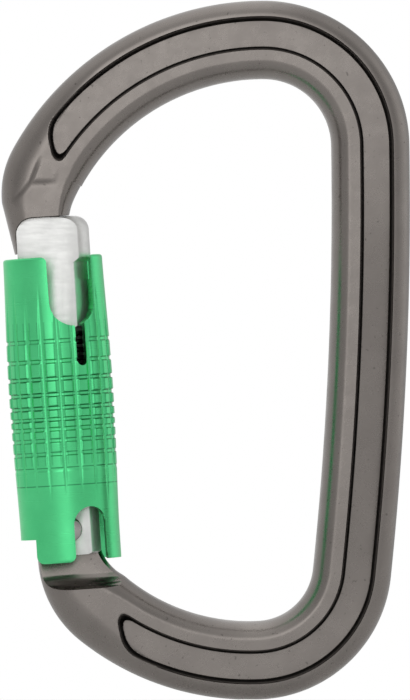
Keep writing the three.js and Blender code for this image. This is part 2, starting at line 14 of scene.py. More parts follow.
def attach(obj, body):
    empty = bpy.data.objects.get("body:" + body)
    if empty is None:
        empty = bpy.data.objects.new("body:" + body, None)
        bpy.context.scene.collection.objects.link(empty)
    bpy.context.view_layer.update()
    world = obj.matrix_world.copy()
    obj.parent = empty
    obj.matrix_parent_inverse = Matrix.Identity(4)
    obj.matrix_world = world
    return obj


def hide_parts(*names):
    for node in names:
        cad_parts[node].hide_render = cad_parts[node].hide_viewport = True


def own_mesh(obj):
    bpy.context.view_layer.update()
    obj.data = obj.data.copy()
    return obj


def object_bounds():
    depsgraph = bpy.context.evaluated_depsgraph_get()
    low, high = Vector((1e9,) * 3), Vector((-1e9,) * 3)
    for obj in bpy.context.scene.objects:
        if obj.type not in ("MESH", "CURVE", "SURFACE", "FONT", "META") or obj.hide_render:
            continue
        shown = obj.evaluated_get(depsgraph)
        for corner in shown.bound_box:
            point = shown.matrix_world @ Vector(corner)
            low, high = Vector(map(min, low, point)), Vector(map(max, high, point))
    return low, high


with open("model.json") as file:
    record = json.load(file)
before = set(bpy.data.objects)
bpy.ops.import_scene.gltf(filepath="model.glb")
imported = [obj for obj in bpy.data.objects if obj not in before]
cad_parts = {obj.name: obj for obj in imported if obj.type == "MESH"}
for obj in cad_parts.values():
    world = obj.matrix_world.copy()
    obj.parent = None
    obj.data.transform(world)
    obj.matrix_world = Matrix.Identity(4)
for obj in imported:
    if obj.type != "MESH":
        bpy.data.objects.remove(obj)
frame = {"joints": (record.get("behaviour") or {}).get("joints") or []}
cad_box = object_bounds()

MM = 0.001
JOINTS = {joint["name"]: joint for joint in frame["joints"]}

# ---------- sizes, as the CAD part has them ----------

BAR_WIDTH = 12.1
HALF_THICKNESS = 5.3
NOSE_BEND_RADIUS = 8.4
SHOULDER_RADIUS, SHOULDER_TURN = 38.2, 61.0
BASKET_RADIUS, BASKET_TURN = 16.5, 89.0
SPINE_RADIUS, SPINE_LENGTH = 550.0, 66.3
CORNER_RADIUS, CORNER_TURN = 15.0, 81.4
SOLE_RADIUS, SOLE_TURN = 36.0, 41.0
HINGE_BEND_RADIUS, HINGE_TURN = 11.3, 68.3

WEB_HALF = 2.2                    # recessed web, half thickness
WEB_FROM, WEB_TO = 4.4, 9.6       # the recess, from the bar's inner edge
FLOOR_DRAFT = 0.09                # along the spine the recess deepens outwards, mm per mm
INNER_WALL, OUTER_WALL = 0.58, 0.68   # width of the recess's sloping walls
ROPE_EDGE = 2.6                   # rounded rope-bearing edge, to the crease beside it
NOSE_ROPE_EDGE, HINGE_ROPE_EDGE = 1.5, 4.4
OUTER_EDGE = 2.6                  # rounding of the outer edge beside the recess
SOLID_OUTER_EDGE = 4.8            # and where the bar has no recess

# the forging's creases beside the nose, as (x, z) lines that meet
NOSE_CREASE = (((-34.4, -12.2), (-35.9, -16.1), (-38.6, -18.8)),
               ((-35.9, -16.1), (-32.1, -16.0), (-31.2, -14.0)))
NOSE_CREASE_DEPTH, NOSE_CREASE_WIDTH = 0.13, 0.28

LUG_HALF = 2.3
FLAT_HALF = 4.2                   # gate's flats
HEAD_LEFT, HEAD_CORNER = -5.3, 2.6    # the gate head's square side, and its rounding seen from the front
HEAD_GAP = 0.13                   # between the gate's head and the nose
RIVET_HOLE = 1.75                 # radius
GATE_RADIUS, HEAD_RADIUS, WAIST_RADIUS = 5.3, 5.9, 4.9
GATE_DROP, SLEEVE_DROP, WAIST_DROP, HEAD_HEIGHT = 3.2, 6.15, 17.3, 7.0
FORK_TAIL, FORK_DEPTH, WAIST_START = 4.0, 6.1, 8.0
SLEEVE_RADIUS, SLEEVE_BELLY, SLEEVE_BORE = 7.66, 8.09, 6.9
SLEEVE_TAIL, SIDE_TAB_TAIL, SHORT_SKIRT_TAIL = 5.1, 4.8, 1.3
TAIL_ROUNDING, RIM_ROUNDING = 0.35, 0.45    # of the sleeve's ends
FLUTES, FLUTE_FLOOR = 20, 7.745   # count, and radius at their floors
RING_FLOOR, RING_MIDDLE = 7.82, 16.35   # turned rings: floor radius, and the height they spread from
CUTOUT_WIDTH, CUTOUT_DEPTH, CUTOUT_ANGLE = 7.3, 10.8, 21.5
WINDOW_WIDTH, WINDOW_TOP, WINDOW_ANGLE = 5.5, 3.4, 27.0
SLOT_WIDTH, SLOT_DEPTH, SLOT_ANGLE = 1.7, 6.2, 27.5
SPRING_WIRE, SPRING_TURNS = 0.8, 16
GATE_SPRING_WIRE, GATE_SPRING_TURNS = 0.4, 9
SEAT_FOOT, SEAT_TOP = 8.3, 9.5
GUIDE_PIN_DROP, GUIDE_PIN_ANGLE = 12.3, 142.0
BORE_RADIUS = 1.6
CAM_SEAT, PLUNGER_LENGTH = 4.7, 6.4
GATE_SPRING_LENGTH = 10.4
RUN = 0.3                         # play between moving pieces


# ---------- centreline of the bar ----------

def normal(heading):
    """Unit vector to the left of a heading in degrees, in the (x, z) plane."""
    return np.array([-math.sin(math.radians(heading)), math.cos(math.radians(heading))])


class Bend:
    """A clockwise bend of the bar's centreline."""

    def __init__(self, start, heading, radius, turn):
        self.radius, self.start, self.end = radius, heading, heading - turn
        self.centre = np.array(start) - radius * normal(heading)

    def at(self, heading, outwards=0.0):
        return self.centre + (self.radius + outwards) * normal(heading)

    def length(self):
        return self.radius * math.radians(self.start - self.end)


HALF = BAR_WIDTH / 2
basket_top = np.array([0.0, HALF])
shoulder_centre = basket_top - np.array([0.0, SHOULDER_RADIUS])
shoulder = Bend(shoulder_centre + SHOULDER_RADIUS * normal(SHOULDER_TURN),
                SHOULDER_TURN, SHOULDER_RADIUS, SHOULDER_TURN)
run = [shoulder]
for radius, turn in (
    (BASKET_RADIUS, BASKET_TURN),
    (SPINE_RADIUS, math.degrees(SPINE_LENGTH / SPINE_RADIUS)),
    (CORNER_RADIUS, CORNER_TURN),
    (SOLE_RADIUS, SOLE_TURN),
    (HINGE_BEND_RADIUS, HINGE_TURN),
):
    last = run[-1]
    run.append(Bend(last.at(last.end), last.end, radius, turn))
basket, spine, corner, sole, hinge_bend = run[1:]
nose_bend = Bend(shoulder.at(shoulder.start), shoulder.start, NOSE_BEND_RADIUS, 0.0)

# ---------- gate line: the rivet, and upright gate coordinates about it ----------

rivet = np.array(JOINTS["gate_swing"]["pos_m"])[[0, 2]] / MM
gate_up = np.array(JOINTS["sleeve_lift"]["axis"])[[0, 2]]
gate_across = np.array([gate_up[1], -gate_up[0]])
tilt = math.atan2(-gate_up[0], gate_up[1])
nose_centre = np.array([np.dot(nose_bend.centre - rivet, gate_across), np.dot(nose_bend.centre - rivet, gate_up)])
GATE_TOP = nose_centre[1] - GATE_DROP
RIM = GATE_TOP - SLEEVE_DROP
GATE_PLACE = Matrix.Translation((rivet[0] * MM, 0, rivet[1] * MM)) @ Matrix.Rotation(-tilt, 4, "Y")


def on_frame(across, along):
    """From gate coordinates to the frame's (x, z)."""
    return rivet + across * gate_across + along * gate_up


def on_gate(point):
    """From the frame's (x, z) to gate coordinates."""
    return np.array([np.dot(point - rivet, gate_across), np.dot(point - rivet, gate_up)])


# ---------- mesh helpers ----------

def mesh_object(name, verts, faces):
    mesh = bpy.data.meshes.new(name)
    mesh.from_pydata([tuple(v) for v in np.asarray(verts) * MM], [], faces)
    mesh.validate()
    obj = bpy.data.objects.new(name, mesh)
    bpy.context.scene.collection.objects.link(obj)
    outward(obj)
    return obj


def outward(obj):
    bm = bmesh.new()
    bm.from_mesh(obj.data)
    bmesh.ops.recalc_face_normals(bm, faces=bm.faces)
    bm.to_mesh(obj.data)
    bm.free()


def mark_points(obj, shares):
    """Stores painted shade at each vertex, 0 to 1, for the materials to read."""
    mark = obj.data.attributes.new("painted_shade", "FLOAT", "POINT")
    mark.data.foreach_set("value", np.asarray(shares, np.float32).ravel())


def grid_faces(rows, cols):
    """Faces between the rows of a grid whose columns close on themselves."""
    faces = []
    for i in range(rows - 1):
        for j in range(cols):
            k = (j + 1) % cols
            faces.append((i * cols + j, i * cols + k, (i + 1) * cols + k, (i + 1) * cols + j))
    return faces


def swept(name, loops):
    """A closed solid through a list of point loops, with flat ends."""
    loops = np.asarray(loops)
    rows, cols = loops.shape[:2]
    faces = grid_faces(rows, cols)
    faces += [tuple(range(cols)), tuple(range((rows - 1) * cols, rows * cols))[::-1]]
    return mesh_object(name, loops.reshape(-1, 3), faces)


def lathe(name, profile, segments=96):
    """A closed (radius, height) profile turned about Z; the first and last points are on the axis."""
    inner = profile[1:-1]
    angles = np.linspace(0, 2 * math.pi, segments, endpoint=False)
    verts = [(0, 0, profile[0][1]), (0, 0, profile[-1][1])]
    for r, z in inner:
        verts += [(r * math.sin(a), -r * math.cos(a), z) for a in angles]
    faces = [tuple(2 + i for i in f) for f in grid_faces(len(inner), segments)]
    top = 2 + (len(inner) - 1) * segments
    for j in range(segments):
        k = (j + 1) % segments
        faces += [(0, 2 + k, 2 + j), (1, top + j, top + k)]
    return mesh_object(name, verts, faces)


def prism(name, outline, low, high, axis="Y"):
    """An outline extruded along Y (points are x, z), or along Z (points are x, y)."""
    if axis == "Y":
        verts = [(x, y, z) for y in (low, high) for x, z in outline]
    else:
        verts = [(x, y, z) for z in (low, high) for x, y in outline]
    n = len(outline)
    faces = [tuple(range(n)), tuple(range(n, 2 * n))[::-1]]
    faces += [(i, (i + 1) % n, n + (i + 1) % n, n + i) for i in range(n)]
    return mesh_object(name, verts, faces)


def arc(centre, radius, start, end, count=10):
    angles = np.radians(np.linspace(start, end, count))
    return [(centre[0] + radius * math.cos(a), centre[1] + radius * math.sin(a)) for a in angles]


def rod(name, radius, start, end, segments=48):
    """A plain cylinder between two points."""
    start, end = Vector(start), Vector(end)
    length = (end - start).length
    obj = lathe(name, [(0, 0), (radius, 0), (radius, length), (0, length)], segments)
    turn = (end - start).to_track_quat("Z", "Y").to_matrix().to_4x4()
    obj.data.transform(Matrix.Translation(start * MM) @ turn)
    return obj


def settle(obj):
    """Applies the object's modifiers."""
    graph = bpy.context.evaluated_depsgraph_get()
    mesh = bpy.data.meshes.new_from_object(obj.evaluated_get(graph))
    obj.modifiers.clear()
    obj.data = mesh
    return obj


def combine(obj, other, operation):
    """Adds, cuts or intersects obj with other, and removes other."""
    mod = obj.modifiers.new("bool", "BOOLEAN")
    mod.operation, mod.object, mod.solver = operation, other, "MANIFOLD"
    settle(obj)
    bpy.data.objects.remove(other)
    return obj


def cut(obj, *cutters):
    for cutter in cutters:
        combine(obj, cutter, "DIFFERENCE")
    return obj


def bevel(obj, width, angle=40, segments=2):
    mod = obj.modifiers.new("bevel", "BEVEL")
    mod.width, mod.segments = width * MM, segments
    mod.limit_method, mod.angle_limit = "ANGLE", math.radians(angle)
    mod.use_clamp_overlap = True
    return settle(obj)


def smooth(obj, angle=38):
    """Smooth shading, sharp over an angle."""
    bm = bmesh.new()
    bm.from_mesh(obj.data)
    bmesh.ops.remove_doubles(bm, verts=bm.verts, dist=2e-7)
    bmesh.ops.dissolve_degenerate(bm, edges=bm.edges, dist=1e-7)
    for face in bm.faces:
        face.smooth = True
    for edge in bm.edges:
        edge.smooth = len(edge.link_faces) == 2 and edge.calc_face_angle(0) < math.radians(angle)
    bm.to_mesh(obj.data)
    bm.free()
    return obj


def blocky(name, low, high):
    """A box between two corners."""
    return prism(name, [(low[0], low[2]), (high[0], low[2]), (high[0], high[2]), (low[0], high[2])], low[1], high[1])


# ---------- frame body ----------

FLANK_START, NOSE_FLANK = 2.0, 10.4     # degrees
NOSE_TIP = RIM + 0.75                   # lowest point of the nose's flank
KEY_TOP, KEY_BOTTOM = GATE_TOP - 2.9, RIM + 0.8    # head of the nose key
KEY_LEFT, KEY_RIGHT = -5.12, 1.5        # its reach across the gate's line, for the slot it sits in
KEY_LAND, KEY_SLOPE = 0.4, 17.0         # flank outside the head; rise of its underside, in degrees
KEY_STEM, KEY_HEAD = 3.2, 5.0           # the key's stem and head, front to back

flank_heading = 90 + math.degrees(tilt) + FLANK_START
flank_start = on_gate(nose_bend.at(flank_heading, HALF))


def flank(along):
    """How far across the gate's line the nose's outer flank is."""
    return flank_start[0] + (flank_start[1] - along) * math.tan(math.radians(NOSE_FLANK))


def dense_route():
    """Outer and inner edge of the bar, station by station, from the nose's tip to the lug's top."""
    outer, inner = [], []
    tip = NOSE_TIP - 1.0
    for along in np.linspace(tip, flank_start[1], 26, endpoint=False):
        outer.append(on_frame(flank(along), along))
    for heading in np.linspace(flank_heading, shoulder.start, 26, endpoint=False):
        outer.append(nose_bend.at(heading, HALF))
    inner_line = smooth_line(
        [(1.6, tip), (2.5, GATE_TOP - 2), (3.15, GATE_TOP + 0.6), (3.75, GATE_TOP + 2.2), (4.95, GATE_TOP + 4.3)],
        shoulder.at(shoulder.start, -HALF), 52)
    inner += inner_line
    for bend in (shoulder, basket, spine, corner, sole):
        for heading in headings(bend):
            outer.append(bend.at(heading, HALF))
            inner.append(bend.at(heading, -HALF))
    neck_heading = 92.0 - 360.0
    for heading in np.linspace(hinge_bend.start, neck_heading, 34, endpoint=False):
        outer.append(hinge_bend.at(heading, HALF))
    inner_start = hinge_bend.at(hinge_bend.start, -HALF)
    inner_neck = [(7.9, -7.75), (6.6, -6.75), (5.45, -5.35), (4.75, -3.9), (4.45, -2.4)]
    inner += smooth_line_from(inner_start, inner_neck, 34)
    lug_outer = smooth_local([(-5.15, -2.4), (-5.25, -0.8), (-5.0, 0.9), (-4.2, 2.4), (-3.1, 3.3)], 14)
    lug_inner = smooth_local([(4.4, -2.3), (4.3, -0.6), (4.4, 1.2), (3.9, 3.0), (2.4, 4.5)], 14)
    outer += lug_outer
    inner += lug_inner
    return np.array(outer), np.array(inner)


def headings(bend):
    """Stations along a bend, closest where the recess ends."""
    if bend is shoulder:
        return np.concatenate([np.linspace(bend.start, bend.start - 15, 90, endpoint=False),
                               np.linspace(bend.start - 15, bend.end, 70, endpoint=False)])
    if bend is sole:
        return np.concatenate([np.linspace(bend.start, bend.end + 15, 50, endpoint=False),
                               np.linspace(bend.end + 15, bend.end, 90, endpoint=False)])
    return np.linspace(bend.start, bend.end, int(bend.length() / (0.9 if bend is spine else 0.4)), endpoint=False)


def catmull(points, count):
    """A smooth curve through points, evenly spaced along it, end point left out."""
    points = [np.asarray(p, float) for p in points]
    padded = [2 * points[0] - points[1], *points, 2 * points[-1] - points[-2]]
    dense = []
    for i in range(1, len(padded) - 2):
        p0, p1, p2, p3 = padded[i - 1:i + 3]
        for t in np.linspace(0, 1, 24, endpoint=False):
            dense.append(0.5 * (2 * p1 + (p2 - p0) * t + (2 * p0 - 5 * p1 + 4 * p2 - p3) * t ** 2
                                + (3 * p1 - p0 - 3 * p2 + p3) * t ** 3))
    dense.append(points[-1])
    dense = np.array(dense)
    along = np.concatenate([[0], np.cumsum(np.linalg.norm(np.diff(dense, axis=0), axis=1))])
    wanted = np.linspace(0, along[-1], count, endpoint=False)
    return [np.array([np.interp(w, along, dense[:, k]) for k in range(2)]) for w in wanted]


def smooth_line(local, end, count):
    return catmull([on_frame(*p) for p in local] + [end], count)


def smooth_line_from(start, local, count):
    return catmull([start] + [on_frame(*p) for p in local], count)


def smooth_local(local, count):
    return catmull([on_frame(*p) for p in local], count)


def across_samples():
    """Distances from the inner edge at which the front and back surfaces are sampled."""
    inner = 3.1 * (1 - np.cos(np.linspace(0, math.pi / 2, 22)))
    outer = BAR_WIDTH - 2.4 * (1 - np.cos(np.linspace(math.pi / 2, 0, 14)))
    middle = [3.2, 3.5, 3.9, 4.2]
    middle += list(np.arange(WEB_FROM - 0.1, WEB_FROM + INNER_WALL + 0.2, 0.09))
    middle += list(np.arange(WEB_FROM + INNER_WALL + 0.25, WEB_TO - OUTER_WALL - 0.25, 0.13))
    middle += list(np.arange(WEB_TO - OUTER_WALL - 0.2, outer[0] - 0.05, 0.1))
    return np.concatenate([inner, middle, outer]) / BAR_WIDTH


def ramp(x, low, high):
    """Smooth step from 0 at low to 1 at high."""
    t = np.clip((x - low) / (high - low), 0, 1)
    return t * t * (3 - 2 * t)


def smooth_min(a, b, k):
    """The smaller of two values, blended over a difference of k."""
    h = np.clip(0.5 + 0.5 * (b - a) / k, 0, 1)
    return b + (a - b) * h - k * h * (1 - h)


def recess(along, across, start, end):
    """Depth of the recess, and how strongly painted shade darkens its sloping wall, at a place along the bar and across
    it.

    Each end is cut off on a slant that leaves a rounded tip towards the inner edge.
    """
    full = HALF_THICKNESS - WEB_HALF
    inner, outer = across - WEB_FROM, WEB_TO - across
    slant = math.radians(43)
    first = (along - start) * math.cos(slant) - (across - WEB_FROM - 1.0) * math.sin(slant)
    last = (end - along) * math.cos(slant) - (across - WEB_FROM - 1.0) * math.sin(slant)
    tips = smooth_min(along - start + 0.2, end - along + 0.2, 1.0)
    edge = smooth_min(smooth_min(inner, first, 2.2), last, 2.2)
    edge = smooth_min(smooth_min(edge, tips, 1.2), outer, 1.6)
    width = INNER_WALL + (OUTER_WALL - INNER_WALL) * ramp(across, WEB_FROM + 1.0, WEB_TO - 1.5)
    wall = np.clip(edge / width, 0, 1)
    return full * ramp(wall, 0, 1), np.where((wall > 0.02) & (wall < 0.98), ramp(wall, 0.02, 0.5), 0.0)


def crease(points):
    """The forging's forked crease beside the nose, 0 to 1, at points (x, z) of the frame's faces."""
    depth = np.zeros(len(points))
    for line in NOSE_CREASE:
        for start, end in zip(line, line[1:]):
            start, step = np.array(start), np.subtract(end, start)
            share = np.clip((points - start) @ step / (step @ step), 0, 1)
            away = np.linalg.norm(points - start - share[:, None] * step, axis=1)
            depth = np.maximum(depth, np.exp(-(away / NOSE_CREASE_WIDTH) ** 2))
    return depth * (1 - ramp(np.linalg.norm(points - NOSE_CREASE[0][1], axis=1), 2.0, 5.2))


def frame_body():
    """The forged bar, swept through cross-sections from nose to lug, with the nose and lug cut to shape."""
    outer, inner = dense_route()
    centre = (outer + inner) / 2
    along = np.concatenate([[0], np.cumsum(np.linalg.norm(np.diff(centre, axis=0), axis=1))])
    shares = across_samples()
    width = np.linalg.norm(outer - inner, axis=1)
    web_start = along_of(centre, along, shoulder.at(shoulder.start - 1.6))
    web_end = along_of(centre, along, sole.at(sole.start - 38.0))
    solid = np.maximum(1 - ramp(along, web_start - 2, web_start + 16), ramp(along, web_end - 14, web_end + 2))
    ropes = ROPE_EDGE + (NOSE_ROPE_EDGE - ROPE_EDGE) * (1 - ramp(along, 6, 20))
    hinge_zone = ramp(along, web_end - 2, web_end + 14)
    ropes += (HINGE_ROPE_EDGE - ROPE_EDGE) * hinge_zone
    spine_from, spine_to = (along_of(centre, along, spine.at(heading)) for heading in (spine.start, spine.end))
    draft = np.minimum(ramp(along, spine_from - 4, spine_from + 22), 1 - ramp(along, spine_to - 6, spine_to + 10))
    loops, marks = [], []
    for i, (o, n) in enumerate(zip(outer, inner)):
        di = shares * width[i]
        do = width[i] - di
        scale = width[i] / BAR_WIDTH
        rope = ropes[i] * min(1, scale)
        edge = (OUTER_EDGE + (SOLID_OUTER_EDGE - OUTER_EDGE) * solid[i]) * min(1, scale)
        reach, power = 1.32 * rope, 2.15 - 0.4 * hinge_zone[i]
        y_in = (HALF_THICKNESS + 0.1) * np.clip(1 - np.clip(1 - di / reach, 0, 1) ** power, 0, 1) ** (1 / power)
        depth_out = 3.9 + 1.2 * solid[i]
        u = np.clip(1 - do / edge, 0, 1)
        y_out = HALF_THICKNESS - depth_out * (1 - np.sqrt(np.clip(1 - u ** 2.1, 0, 1)))
        y = np.minimum(np.minimum(y_in, y_out), HALF_THICKNESS)
        # wall: painted shade on the recess's sloping walls, passed to the material as a vertex attribute
        sunk, wall = recess(along[i], di / scale, web_start, web_end)
        y = y - sunk - draft[i] * FLOOR_DRAFT * (di / scale - 7.0) * sunk / (HALF_THICKNESS - WEB_HALF)
        direction = (o - n) / width[i]
        flat = n + di[:, None] * direction
        fold = crease(flat)
        # the nose creases are sunk a little and also darkened with painted shade
        y, wall = y - NOSE_CREASE_DEPTH * fold, np.maximum(wall, 0.4 * fold)
        marks.append(np.concatenate([wall, np.zeros(3), wall[::-1][:-1]]))
        front = np.column_stack([flat[:, 0], -y, flat[:, 1]])
        back = np.column_stack([flat[:, 0], y, flat[:, 1]])
        y_side = y[-1]
        side = [[o[0], k * y_side, o[1]] for k in (-0.5, 0, 0.5)]
        loops.append(np.vstack([front, side, back[::-1][:-1]]))
    body = swept("frame_body_fine", loops)
    mark_points(body, np.concatenate(marks))
    key = nose_key(body)
    cut(body, head_pocket(), lug_cutter(1), lug_cutter(-1), rivet_hole("frame_hole"))
    combine(body, key, "UNION")
    bevel(body, 0.14, 50, 2)
    return smooth(body, 32)


def along_of(centre, along, point):
    """Distance along the bar of the station nearest to a point."""
    return along[np.argmin(np.linalg.norm(centre - point, axis=1))]


def head_pocket():
    """Cuts the room for the gate's head, a narrow gap larger than it and open below, its cut walls marked for painted
    shade.
    """
    left, right, bottom = HEAD_LEFT - HEAD_GAP, 12.0, RIM - 8
    top, corner_radius = GATE_TOP + HEAD_GAP, HEAD_CORNER + HEAD_GAP
    outline = [(left, bottom), *arc((left + corner_radius, top - corner_radius), corner_radius, 180, 90, 14),
               (right, top), (right, bottom)]
    tool = prism("pocket", outline, -12, 12)
    foot = blocky("foot", (-14, -12, bottom), (12, 12, NOSE_TIP))
    combine(tool, foot, "UNION")
    tool.data.transform(GATE_PLACE)
    # painted shade on the walls the pocket cuts
    mark_points(tool, np.full(len(tool.data.vertices), 0.85))
    return tool


def nose_key(body):
    """The T-shaped key under the nose, inside the uncut bar, that the gate's slotted head closes over."""
    left, root = flank(KEY_BOTTOM) + KEY_LAND, GATE_TOP + RUN + 1
    rise = (KEY_RIGHT - left) * math.tan(math.radians(KEY_SLOPE))
    underside = [(KEY_RIGHT, KEY_BOTTOM + rise), (left, KEY_BOTTOM)]
    key = prism("key_stem", [(flank(root), root), (KEY_RIGHT, root), *underside, (flank(KEY_BOTTOM), KEY_BOTTOM)],
                -KEY_STEM / 2, KEY_STEM / 2)
    combine(key, prism("key_head", [(left, KEY_TOP), (KEY_RIGHT, KEY_TOP), *underside],
                       -KEY_HEAD / 2, KEY_HEAD / 2), "UNION")
    key.data.transform(GATE_PLACE)
    whole = bpy.data.objects.new("whole_bar", body.data.copy())
    bpy.context.scene.collection.objects.link(whole)
    return combine(key, whole, "INTERSECT")


def lug_cutter(side):
    """Cuts the cheek's space beside the lug: a flat floor and a hollowed slope up to the full bar."""
    floor, face = LUG_HALF, 9.0
    slope = [(floor + 0.02, -7.0), (floor + 0.35, -7.75), (floor + 1.0, -8.45), (floor + 1.9, -9.0),
             (floor + 3.0, -9.35), (face, -9.5)]
    outline = [(floor, 9.0), *slope, (face, 9.0)]
    tool = prism("lug_cutter", outline, -14, 14)
    tool.data.transform(Matrix.Rotation(math.radians(90 if side > 0 else -90), 4, "Z"))
    tool.data.transform(GATE_PLACE)
    return tool


def rivet_hole(name):
    tool = rod(name, RIVET_HOLE, (0, -12, 0), (0, 12, 0))
    tool.data.transform(GATE_PLACE)
    return tool


# ---------- materials ----------

class Nodes:
    """A material's node tree with a Principled shader."""

    def __init__(self, name):
        self.material = bpy.data.materials.new(name)
        self.material.use_nodes = True
        self.tree = self.material.node_tree
        self.shader = self.tree.nodes["Principled BSDF"]
        self.place = self.add("ShaderNodeTexCoord").outputs["Object"]

    def add(self, kind, **settings):
        node = self.tree.nodes.new(kind)
        for key, value in settings.items():
            if key in node.inputs:
                node.inputs[key].default_value = value
            else:
                setattr(node, key, value)
        return node

    def link(self, source, target):
        self.tree.links.new(source, target)

    def noise(self, scale, detail=3.0, roughness=0.55, stretch=None):
        node = self.add("ShaderNodeTexNoise", Scale=scale, Detail=detail, Roughness=roughness)
        place = self.place
        if stretch:
            mapping = self.add("ShaderNodeMapping")
            mapping.inputs["Scale"].default_value = stretch
            self.link(place, mapping.inputs["Vector"])
            place = mapping.outputs["Vector"]
        self.link(place, node.inputs["Vector"])
        return node.outputs["Fac"]

    def steps(self, source, stops):
        node = self.add("ShaderNodeValToRGB")
        elements = node.color_ramp.elements
        while len(elements) < len(stops):
            elements.new(0.5)
        for element, (position, colour) in zip(elements, stops):
            element.position = position
            element.color = colour if len(colour) == 4 else (*colour, 1)
        self.link(source, node.inputs["Fac"])
        return node.outputs["Color"]

    def remap(self, source, low, high, from_low=0.0, from_high=1.0):
        node = self.add("ShaderNodeMapRange")
        for key, value in (("From Min", from_low), ("From Max", from_high), ("To Min", low), ("To Max", high)):
            node.inputs[key].default_value = value
        self.link(source, node.inputs["Value"])
        return node.outputs["Result"]

    def mix(self, share, first, second, blend="MIX"):
        node = self.add("ShaderNodeMix", data_type="RGBA", blend_type=blend)
        for value, socket in ((share, 0), (first, 6), (second, 7)):
            if isinstance(value, bpy.types.NodeSocket):
                self.link(value, node.inputs[socket])
            else:
                node.inputs[socket].default_value = value
        return node.outputs[2]

    def bump(self, height, distance, strength=1.0):
        node = self.add("ShaderNodeBump", Strength=strength, Distance=distance)
        self.link(height, node.inputs["Height"])
        self.link(node.outputs["Normal"], self.shader.inputs["Normal"])


def anodised(name, colour, dark, roughness, speck=0.5, painted_shade=None):
    """Anodised aluminium: faint mottling, tiny pits, a fine satin grain, and, when a shade colour is given, painted
    shade read from a vertex attribute.
    """
    n = Nodes(name)
    n.shader.inputs["Metallic"].default_value = 1.0
    cloud = n.steps(n.noise(160, 4), [(0.3, dark), (0.7, colour)])
    pits = n.steps(n.noise(1500, 2, 0.5), [(0.26, (0.3, 0.3, 0.3)), (0.31, (1, 1, 1))])
    base = n.mix(speck, cloud, n.mix(1.0, cloud, pits, "MULTIPLY"))
    rough = n.remap(n.noise(420, 3), roughness - 0.03, roughness + 0.05, 0.3, 0.7)
    if painted_shade:
        # painted shade: marked vertices take the shade colour and a duller roughness
        mark = n.add("ShaderNodeAttribute", attribute_name="painted_shade").outputs["Fac"]
        base = n.mix(mark, base, painted_shade)
        rough = n.mix(mark, rough, (0.75, 0.75, 0.75, 1))
    n.link(base, n.shader.inputs["Base Color"])
    n.link(rough, n.shader.inputs["Roughness"])
    n.bump(n.noise(2600, 2), 0.00002, 0.3)
    return n.material


def frame_finish():
    # near-black painted shade for the recess walls, the nose creases and the head pocket
    return anodised("titanium_grey_anodised", (0.29, 0.263, 0.244), (0.258, 0.233, 0.217), 0.27,
                    painted_shade=(0.008, 0.007, 0.006, 1))


def sleeve_finish():
    n = Nodes("green_anodised")
    n.shader.inputs["Metallic"].default_value = 1.0
    cloud = n.steps(n.noise(220, 4), [(0.3, (0.117, 0.80, 0.315)), (0.7, (0.136, 0.87, 0.35))])
    painted_crevice_shade = n.add("ShaderNodeAttribute", attribute_name="painted_shade").outputs["Fac"]
    # painted shade: dark green where the crevice mask is set
    n.link(n.mix(painted_crevice_shade, cloud, (0.004, 0.13, 0.035, 1)), n.shader.inputs["Base Color"])
    turning = n.noise(60, 2, 0.5, (1, 1, 160))
    n.link(n.remap(turning, 0.27, 0.32, 0.3, 0.7), n.shader.inputs["Roughness"])
    n.bump(turning, 0.00001, 0.08)
    return n.material


def gate_finish():
    n = Nodes("satin_silver")
    n.shader.inputs["Metallic"].default_value = 0.85
    n.link(n.steps(n.noise(500, 4, 0.6), [(0.32, (0.83, 0.83, 0.815)), (0.6, (0.89, 0.89, 0.87))]),
           n.shader.inputs["Base Color"])
    n.link(n.remap(n.noise(300, 3, 0.5, (1, 1, 8)), 0.33, 0.45, 0.3, 0.7), n.shader.inputs["Roughness"])
    n.bump(n.noise(1800, 2), 0.00002, 0.3)
    return n.material


def steel_finish(name, colour, roughness):
    n = Nodes(name)
    n.shader.inputs["Metallic"].default_value = 1.0
    dull = tuple(0.8 * c for c in colour)
    n.link(n.steps(n.noise(700, 4, 0.6), [(0.35, dull), (0.65, colour)]), n.shader.inputs["Base Color"])
    n.link(n.remap(n.noise(900, 3), roughness - 0.05, roughness + 0.08, 0.3, 0.7), n.shader.inputs["Roughness"])
    n.bump(n.noise(3000, 2), 0.00001, 0.3)
    return n.material


def acetal_finish():
    n = Nodes("black_acetal")
    n.link(n.steps(n.noise(400, 3), [(0.3, (0.012, 0.012, 0.013)), (0.7, (0.022, 0.022, 0.024))]),
           n.shader.inputs["Base Color"])
    n.link(n.remap(n.noise(900, 3), 0.42, 0.6, 0.3, 0.7), n.shader.inputs["Roughness"])
    n.bump(n.noise(2200, 2), 0.00002, 0.3)
    return n.material


def wear(obj, material):
    obj.data.materials.clear()
    obj.data.materials.append(material)


# ---------- gate ----------

